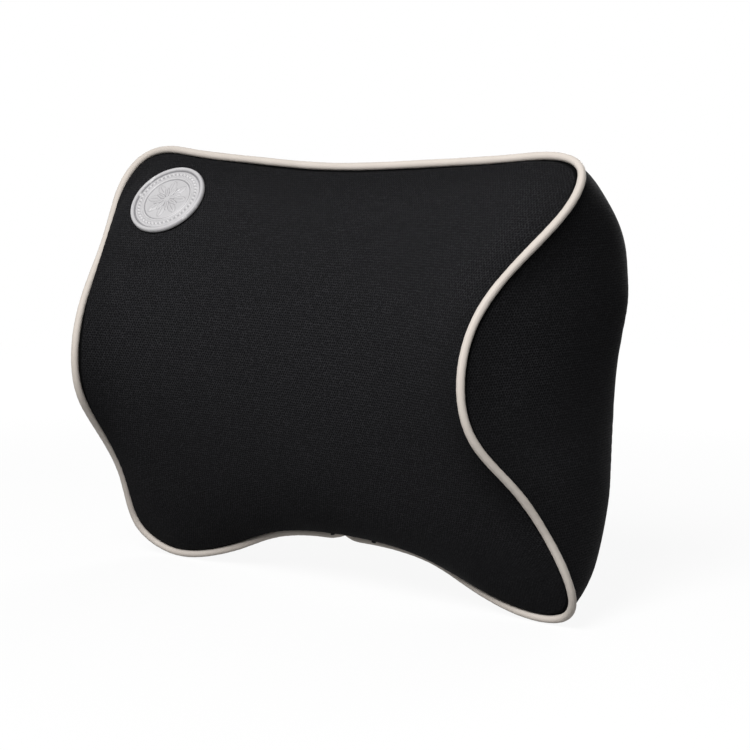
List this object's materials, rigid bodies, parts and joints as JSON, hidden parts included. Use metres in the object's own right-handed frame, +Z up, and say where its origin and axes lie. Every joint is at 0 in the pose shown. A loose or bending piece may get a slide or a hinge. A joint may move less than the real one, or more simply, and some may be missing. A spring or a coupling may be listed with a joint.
{
  "type": "travel neck pillow",
  "caption": "Contoured saddle-shaped neck pillow for a car seat: foam core in a knitted cover with piping round the front, a round badge and an elastic headrest strap.",
  "frame": {"origin": "the point of the flat back face, in the middle and below the strap, that bears on the headrest", "axes": "+Z up, +Y out of the back face towards the headrest, +X along the width; the front with the neck's hollow looks along -Y"},
  "size_m": [0.2714, 0.1072, 0.1944],
  "materials": {
    "knit": "matt fine honeycomb knit, black",
    "piping": "smooth woven cover, grey-beige",
    "foam": "soft open-cell foam, cream",
    "moulding": "satin moulded, light grey",
    "elastic": "matt ribbed elastic webbing, black"
  },
  "bodies": {
    "root": {"foam_core": "foam", "cover_front": "knit", "cover_back": "knit", "piping": "piping", "badge": "moulding", "strap": "elastic"}
  },
  "joints": []
}
